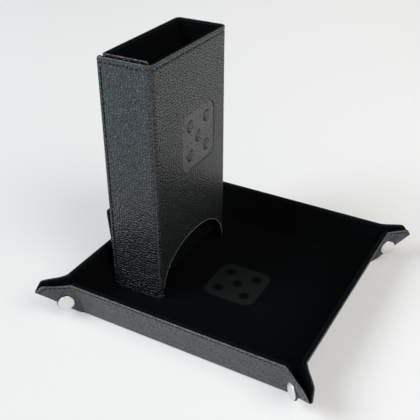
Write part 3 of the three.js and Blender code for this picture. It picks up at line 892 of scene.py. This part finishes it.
def ear_point(u, v, depth, lift=0.0, near=0.0):
    """Point of the front wall's right-hand ear. Before the corner it lies in the wall. Past it
    the sheet rises from the ridge in the plane that the bend gives it, and higher up it is drawn
    in beside the ridge plane, pinched by the snap. Its bottom is round, a channel, but never
    further out of the bend's plane than FULLNESS, so it still lies flat unfolded.
    lift is how far the tip is pulled up, near how close to the ridge plane it may come."""
    u, v, depth = np.broadcast_arrays(u, v, depth)
    wall = wall_point(HALF + u, v, depth)
    along, away = (u + v) / math.sqrt(2), (v - u) / math.sqrt(2)
    flat = away * math.sin(LEAN)
    high = smooth(10, 22, away)
    side = SNAP_REACH + 3.2 * high + 1.6 * smooth(26, 36, along) * (1 - high)
    open_up = 4.5 + 9.5 * smooth(10, 20, away)
    free = 1 - smooth(0, 1, u / open_up)
    share = 1 - np.clip(away / CHANNEL, 0, 1)
    channel = side * np.sqrt(np.maximum(1 - share**2, 0))
    drawn = softened(channel, flat + FULLNESS, 1.2)
    out = flat * free + drawn * (1 - free)
    flank = (CORNER_POINT + along[..., None] * RIDGE + (away * COS)[..., None] * RIDGE_UP
             + (out - depth)[..., None] * RIDGE_OUT)
    flank[..., 2] += lift * smooth(0, 28, u)
    mix = smooth(-EAR_START, EAR_START, u)[..., None]
    sheet = wall * (1 - mix) + flank * mix
    past = near - (sheet - CORNER_POINT) @ RIDGE_OUT
    return sheet + np.maximum(past, 0)[..., None] * RIDGE_OUT


def ear_thickness(u, v):
    """Both layers of the ear, which has no board in it."""
    thin = 2.0 - 0.35 * smooth(22, 31, v)
    return PANEL - thin * smooth(-EAR_START, 6, u)


def ear_edge(u, v):
    """Distance from the outline, at the tip as well."""
    return softened(WALL - v, (CUT - u - v) / math.sqrt(2))


def ear_grid(inset, steps, first):
    """Columns from the wall out to the tip, each with its points between the fold or the ridge
    and an outline that is set in. first is where they begin above the fold, beside the wall."""
    end = CUT / 2 - inset / math.sqrt(2)
    u = spaced(np.linspace(-EAR_START, 0, 6), np.linspace(0, 14, 19), np.linspace(15, 19, 3),
               np.linspace(19.5, end - 0.4, 14), [end - 0.2, end - 0.08, end])
    low = np.where(u < 0, first * np.clip(-(u + 1.0) / (EAR_START - 1.0), 0, 1), u)
    tall = np.maximum(ear_height(u, inset) - low, 0)
    steps = steps - inset
    fall = steps[:, None] * np.minimum(1, tall / (2.2 * steps[-1]))[None, :]
    share = 0.5 - 0.5 * np.cos(math.pi * np.linspace(0.06, 1, 26))
    rest = fall[-1] + (tall - fall[-1])[None, :] * share[:, None]
    v = (low + tall)[None, :] - np.concatenate([fall, rest])
    return np.repeat(u[None, :], len(v), 0), v


def ear_names(index, mirror):
    """The corner at one end of a wall, and the ear's flank there that goes with the wall."""
    corner = CORNERS[(index - mirror) % 4]
    return corner, f"{corner}_ear_{WALL_ORDER[index]}_flank"


def ear(index, mirror):
    """One side of a corner ear, leather and velvet, and the stitches along its edge."""
    corner, flank = ear_names(index, mirror)
    ends = [CORNER_POINT + 15 * UP - EAR_START * np.array([1.0, 0, 0]),
            CORNER_POINT + 15 * UP + EAR_START * AWAY]
    start, end = (tuple(turned(p, index, mirror) * MM) for p in ends)
    for layer, material, inset, steps, first, depths, near in (
            ("leather", TRAY_LEATHER_PAINTED_LIGHT, 0, EDGE_STEPS, 0, skin_depths, (0, 0.5)),
            ("velvet", VELVET, SET_BACK, VELVET_STEPS, WALL_FIRST, velvet_depths, (0.1, 0.35))):
        u, v = ear_grid(inset, steps, first)
        edge = ear_edge(u, v)
        front, back = depths(edge, ear_thickness(u, v))
        if layer == "leather":
            below = np.maximum(FOLD_RADIUS * HALF_TURN - v, 0)
            fold = FOLD_RADIUS - np.sqrt(FOLD_RADIUS**2 - below**2)
            front = front + furrow(edge, WALL_STITCH, 0.8, 0.35) + fold * (1 - smooth(-0.5, 2, u))
        sides = (turned(ear_point(u, v, d, EAR_LIFT[corner], n), index, mirror)
                 for d, n in zip((front, back), near))
        piece = shell(f"{flank}_{layer}", *sides, material, layer, edge_marks(layer, edge))
        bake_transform(piece)
        if layer == "leather":
            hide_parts(flank)
    sew_ear(flank, index, mirror, EAR_LIFT[corner])


def sew_ear(flank, index, mirror, lift):
    """Stitches along the ear's edge, at even steps of the outline."""
    line_u = np.linspace(3.5, CUT / 2 - WALL_STITCH / math.sqrt(2) - 1.0, 60)
    line_v = ear_height(line_u, WALL_STITCH)
    run = run_along(line_u, line_v)
    at = middles(int(run[-1] / TRAY_PITCH)) * run[-1]

    def point(t, depth):
        return ear_point(np.interp(t, run, line_u), np.interp(t, run, line_v), depth, lift)

    middle, ahead, deeper = point(at, 0.2), point(at + 0.3, 0.2), point(at, 0.5)
    along = ahead - middle
    along /= np.linalg.norm(along, axis=-1, keepdims=True)
    out = middle - deeper
    out -= (out * along).sum(-1, keepdims=True) * along
    out /= np.linalg.norm(out, axis=-1, keepdims=True)
    sew(flank, *(turned(p, index, mirror) for p in (middle, along, out)))


for wall_index in range(4):
    tray_wall(wall_index)
    ear(wall_index, False)
    ear(wall_index, True)


def tray_base():
    """The base's leather underside, and the velvet floor with the printed die face."""
    reach = HALF - BASE_STRIP
    low = [(-reach, -reach, 0), (reach, -reach, 0), (reach, reach, 0), (-reach, reach, 0)]
    cover = slab("tray_base_leather", low, (0, 0, 1), 1.2, TRAY_LEATHER_PAINTED_LIGHT, "leather", roll=0.02,
                 gap=12.0)
    settle(cover, "tray_base", "tray_base_cover")
    reach = reach + 0.05
    fine = np.arange(-27, 27.01, 0.6)
    cols = spaced(-reach, reach, np.arange(-reach, reach, 4.0), fine)
    y, x = grid(cols, cols)
    mark = die_face(x - 3, y, 45.0)
    swell = 0.07 * np.sin(x * 0.05 + 1) * np.sin(y * 0.045) - 0.10 * mark
    top = PANEL - LINING_FACE + swell * smooth(0, 12, reach - np.maximum(np.abs(x), np.abs(y)))
    floor = shell("tray_floor_velvet", np.stack([x, y, top], -1),
                  np.stack([x, y, PANEL - LINING_BACK - 0.2 + 0 * x], -1), VELVET, "velvet",
                  {"printed": mark})
    settle(floor, "tray_base", "tray_base_lining")


tray_base()


# Snaps
def turned_piece(name, profile, axis_frame, material):
    """A profile of (radius, height) carried round an axis."""
    steps, (centre, a, b, out) = 48, axis_frame
    profile = np.array(profile, float)
    h, angle = grid(profile[:, 1], np.linspace(0, 2 * math.pi, steps + 1)[:-1])
    r = np.repeat(profile[:, :1], steps, 1)
    points = (centre + (r * np.cos(angle))[..., None] * a
              + (r * np.sin(angle))[..., None] * b + h[..., None] * out)
    faces = [face for part in tube(*r.shape) for face in part.tolist()]
    return finish_mesh(name, points.reshape(-1, 3), faces, material, crease=50)


def snap_frame(index, mirror):
    """A snap's middle in the ridge plane, two directions across it, and its axis."""
    along = np.array([1, -1, 0]) / math.sqrt(2)
    centre = np.array([HALF, -HALF, SNAP_UP]) + SNAP_OUT * along
    return [turned(v, index, mirror)
            for v in (centre, along, np.cross(RIDGE_OUT, along), RIDGE_OUT)]


CAP = [(0.05, 3.0), (5.4, 3.0), (6.0, 3.2), (6.25, 3.4), (6.33, 3.7), (6.33, 4.0), (6.28, 4.22),
       (6.08, 4.42), (5.7, 4.64), (5.1, 4.88), (4.42, 5.12), (3.5, 5.32), (2.5, 5.44), (1.3, 5.51),
       (0.05, 5.53)]
POST = [(0.05, 2.6), (4.4, 2.6), (4.8, 3.0), (4.9, 3.5), (4.9, 4.1), (4.84, 4.32), (4.6, 4.46),
        (4.2, 4.54), (3.5, 4.54), (2.9, 4.47), (2.5, 4.40), (1.5, 4.38), (0.05, 4.38)]
PAD = [(0.05, 2.0), (6.6, 2.0), (6.85, 2.3), (6.85, 3.2), (6.6, 3.44), (0.05, 3.44)]
CAPS_ON = {("front", False), ("front", True), ("right", False), ("left", True)}
for wall_index, wall_name in enumerate(WALL_ORDER):
    for mirrored in (False, True):
        corner_name, flank_name = ear_names(wall_index, mirrored)
        kind = "cap" if (wall_name, mirrored) in CAPS_ON else "post"
        for part, profile, material, slot in (
                ("pad", PAD, TRAY_LEATHER_PAINTED_LIGHT, "leather"),
                ("dome", CAP if kind == "cap" else POST, SNAP_METAL, "snap_metal")):
            piece = turned_piece(f"{corner_name}_snap_{kind}_{part}", profile,
                                 snap_frame(wall_index, mirrored), material)
            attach(piece, flank_name)

make_stitches()

# Finishes of the CAD solids that stay
FINISHES = {"board": BOARD, "magnet": MAGNET_STEEL, "cap": SNAP_METAL, "post": SNAP_METAL,
            "socket": SNAP_METAL, "stud": SNAP_METAL}
for node_name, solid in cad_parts.items():
    finish = FINISHES.get(node_name.rsplit("_", 1)[-1])
    if finish is not None:
        for material_slot in solid.material_slots:
            material_slot.material = finish


# Floor, light and camera
def stand(thing, at, direction):
    """Puts a lamp or a camera into the scene, looking along a direction."""
    thing.location = at
    thing.rotation_mode = "QUATERNION"
    thing.rotation_quaternion = direction.to_track_quat("-Z", "Y")
    bpy.context.scene.collection.objects.link(thing)


def studio():
    """A pale floor, painted brighter and warmer towards the right, with a painted cool glowing band
    in front whose painted light the tower's near side mirrors; a window lamp, a warmer fill and the
    room's own light."""
    mesh = bpy.data.meshes.new("studio_floor")
    mesh.from_pydata([(-6, -6, 0), (6, -6, 0), (6, 6, 0), (-6, 6, 0)], [], [(0, 1, 2, 3)])
    floor = bpy.data.objects.new("studio_floor", mesh)
    floor.location.z = -0.0002
    bpy.context.scene.collection.objects.link(floor)
    f = Finish(bpy.data.materials.new("pale_paper"))
    split = f.add("SeparateXYZ", "X", Vector=f.coords)
    y = Wire(f.tree, split.socket.node.outputs["Y"])
    across = split * 0.8 + y * 0.6
    # Painted light on the floor: brighter and warmer to the right, and a cool glowing band in front
    # that the near side mirrors
    painted_light_drift = f.span(across, -0.2, 0.35)
    toward = split * 0.35 + y * 0.94
    painted_cool_band = f.span(toward, -0.24, -0.42) * f.span(toward, -0.9, -0.62)
    lit = f.colour(painted_light_drift, (0.78, 0.82, 0.85, 1), (0.84, 0.82, 0.80, 1))
    seen = f.colour(painted_light_drift, (0.64, 0.64, 0.64, 1), (0.75, 0.74, 0.72, 1))
    seen = f.colour(painted_cool_band, seen, (0.60, 0.84, 0.97, 1))
    glow = f.colour(painted_cool_band, (0.27, 0.268, 0.26, 1), (0.38, 0.54, 0.62, 1))
    ray = [f.add("LightPath", kind) for kind in ("Is Camera Ray", "Is Glossy Ray",
                                                 "Is Transmission Ray")]
    direct = ray[0] + ray[1] + ray[2]
    mesh.materials.append(f.surface(
        Base_Color=f.colour(direct, lit, seen), Roughness=0.85, Specular_IOR_Level=0.1,
        Emission_Color=f.colour(direct, (0, 0, 0, 1), glow), Emission_Strength=1.0))
    for name, at, aim, power, colour in (
            ("window", (-2.2, -2.3, 3.0), (0, 0, 0.05), 130.0, (0.88, 0.95, 1.0)),
            ("fill", (2.6, -0.9, 2.9), (0, 0, 0.1), 64.0, (1.0, 0.96, 0.92))):
        light = bpy.data.lights.new(name, "AREA")
        light.shape, light.size, light.energy, light.color = "DISK", 2.6, power, colour
        stand(bpy.data.objects.new(name, light), Vector(at), Vector(aim) - Vector(at))


def room_light():
    """A room that is dark towards its far wall, behind and above the object: strength follows the
    cosine between a direction and that wall's. The camera itself sees one even strength."""
    f = Finish(bpy.data.worlds.new("soft_room"), "Background", "Generated")
    toward = f.add("VectorMath", "Value", {"operation": "DOT_PRODUCT"},
                   {0: f.coords, 1: (-0.41, 0.74, 0.53)})
    fall = f.span(toward, -0.2, 0.7, 0.62, 0.04, interpolation_type="SMOOTHSTEP")
    seen = f.add("Mix", "Result", Factor=f.add("LightPath", "Is Camera Ray"), A=fall, B=0.86)
    bpy.context.scene.world = f.surface(Strength=seen, Color=(0.95, 0.97, 1.0, 1))


def photo_camera():
    """The photograph's view, from its fitted azimuth, elevation, distance and lens."""
    azimuth, elevation, distance = math.radians(29.13), math.radians(31.46), 0.68537
    focal, picture, sensor = 705.85, 420, 36.0
    back = Vector((math.sin(azimuth) * math.cos(elevation),
                   -math.cos(azimuth) * math.cos(elevation), math.sin(elevation)))
    data = bpy.data.cameras.new("photo_camera")
    data.sensor_width, data.lens = sensor, focal * sensor / picture
    data.clip_start, data.clip_end = 0.02, 30
    camera = bpy.data.objects.new("photo_camera", data)
    stand(camera, Vector((-0.07605, 0.09552, 0)) + back * distance, -back)
    bpy.context.scene.camera = camera


studio()
room_light()
photo_camera()
bpy.context.scene.view_settings.view_transform = "Standard"
